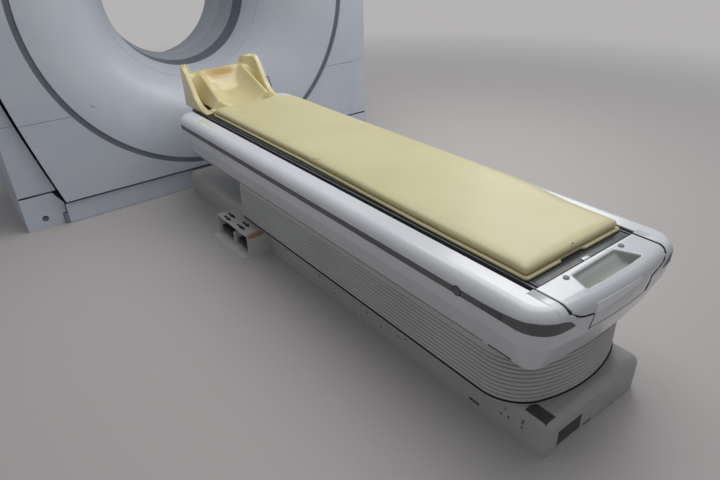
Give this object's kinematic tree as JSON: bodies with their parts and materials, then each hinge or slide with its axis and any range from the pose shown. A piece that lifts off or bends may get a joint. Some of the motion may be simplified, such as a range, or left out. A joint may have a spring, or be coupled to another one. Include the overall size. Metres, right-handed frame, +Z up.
{
  "type": "computed tomography scanner",
  "caption": "Tilting ring gantry with a patient tunnel and a lifting couch with a sliding padded top, head holder and foot pedals.",
  "frame": {"origin": "centre of the bounding box on the floor", "axes": "+Z up; +Y from the foot of the couch to the gantry, along the scan axis; +X to the right seen from the foot of the couch"},
  "size_m": [2.33, 3.588, 2.09],
  "materials": {
    "black_rubber": "matt",
    "board": "carbon laminate, satin",
    "dark_plastic": "matt",
    "film": "satin film",
    "grey_plastic": "satin",
    "holder_yellow": "glossy moulded",
    "housing_white": "satin painted moulding",
    "light_plastic": "satin",
    "pad_yellow": "vinyl cover, satin",
    "painted": "semi-gloss enamel",
    "shell_white": "glossy moulded shell",
    "steel": "brushed"
  },
  "bodies": {
    "floor_base": {"gantry_base_frame": "painted", "gantry_stands": "painted", "plinth_panels": "housing_white", "stand_foot_covers": "housing_white", "stand_lower_covers": "housing_white", "stand_upper_covers": "housing_white", "tilt_bearings": "steel", "tilt_gearmotor": "painted", "couch_base": "light_plastic", "base_vents": "grey_plastic", "lift_gearmotor": "painted", "columns_outer": "steel", "bellows_base_frame": "light_plastic", "foot_switch_box": "light_plastic", "pedal_pivots": "steel"},
    "tilting_housing": {"tilt_frame": "painted", "front_upper_cover": "housing_white", "front_lower_cover": "housing_white", "ring_trim": "grey_plastic", "dish_cover": "housing_white", "bore_mouth_ring": "housing_white", "bore_dark_band": "grey_plastic", "scan_window": "film", "bore_rear_funnel": "housing_white", "rear_cover": "housing_white", "top_cover": "housing_white", "round_caps": "grey_plastic", "main_bearing_outer": "steel", "drive_motor": "painted", "drive_belt": "black_rubber", "brush_block": "dark_plastic"},
    "rotor": {"rotor_drum": "painted", "xray_tube": "painted", "collimator": "painted", "detector_arc": "painted", "hv_generator": "painted", "data_box": "painted", "counterweight": "painted"},
    "rotor_pulley": {"drive_pulley": "steel"},
    "middle_columns": {"columns_middle": "steel"},
    "lifting_body": {"columns_inner": "steel", "bellows": "light_plastic", "bellows_top_frame": "light_plastic", "couch_frame": "painted", "couch_shell": "shell_white", "shell_stripe": "grey_plastic", "button_bezel": "grey_plastic", "slide_rails": "steel", "slide_motor": "painted"},
    "push_button": {"side_button": "grey_plastic"},
    "sliding_top": {"table_top": "board", "slide_runners": "steel", "end_cover": "shell_white", "end_cover_caps": "grey_plastic", "accessory_rails": "grey_plastic", "mattress": "pad_yellow", "headrest": "holder_yellow", "wire_hook": "dark_plastic"},
    "up_foot_pedal": {"up_pedal": "black_rubber"},
    "down_foot_pedal": {"down_pedal": "black_rubber"}
  },
  "joints": [
    {"name": "gantry_tilt", "type": "hinge", "parent": "floor_base", "child": "tilting_housing", "pos_m": [0, 1.354, 1.105], "axis": [1, 0, 0], "range_deg": [-9, 30]},
    {"name": "rotor_spin", "type": "hinge", "parent": "tilting_housing", "child": "rotor", "pos_m": [0, 1.354, 1.105], "axis": [0, 1, 0], "continuous": true},
    {"name": "pulley_spin", "type": "hinge", "parent": "tilting_housing", "child": "rotor_pulley", "pos_m": [0.6364, 1.354, 0.4686], "axis": [0, 1, 0], "continuous": true},
    {"name": "couch_lift", "type": "slide", "parent": "floor_base", "child": "lifting_body", "axis": [0, 0, 1], "range_m": [-0.11, 0.36], "deforming": ["bellows"]},
    {"name": "middle_column_lift", "type": "slide", "parent": "floor_base", "child": "middle_columns", "axis": [0, 0, 1], "range_m": [-0.055, 0.18]},
    {"name": "table_slide", "type": "slide", "parent": "lifting_body", "child": "sliding_top", "axis": [0, 1, 0], "range_m": [0, 0.2]},
    {"name": "side_button_press", "type": "slide", "parent": "lifting_body", "child": "push_button", "axis": [1, 0, 0], "range_m": [0, 0.003], "stiffness_N_per_m": 800, "springref_m": -0.001},
    {"name": "up_pedal_press", "type": "hinge", "parent": "floor_base", "child": "up_foot_pedal", "pos_m": [-0.2743, 0.125, 0.044], "axis": [0, -1, 0], "range_deg": [0, 8], "stiffness_Nm_per_rad": 8, "springref_deg": -8.59},
    {"name": "down_pedal_press", "type": "hinge", "parent": "floor_base", "child": "down_foot_pedal", "pos_m": [-0.2743, -0.057, 0.044], "axis": [0, -1, 0], "range_deg": [0, 8], "stiffness_Nm_per_rad": 8, "springref_deg": -8.59}
  ],
  "couplings": [
    {"joint": "pulley_spin", "follows": "rotor_spin", "ratio": 17.556},
    {"joint": "middle_column_lift", "follows": "couch_lift", "ratio": 0.5}
  ]
}
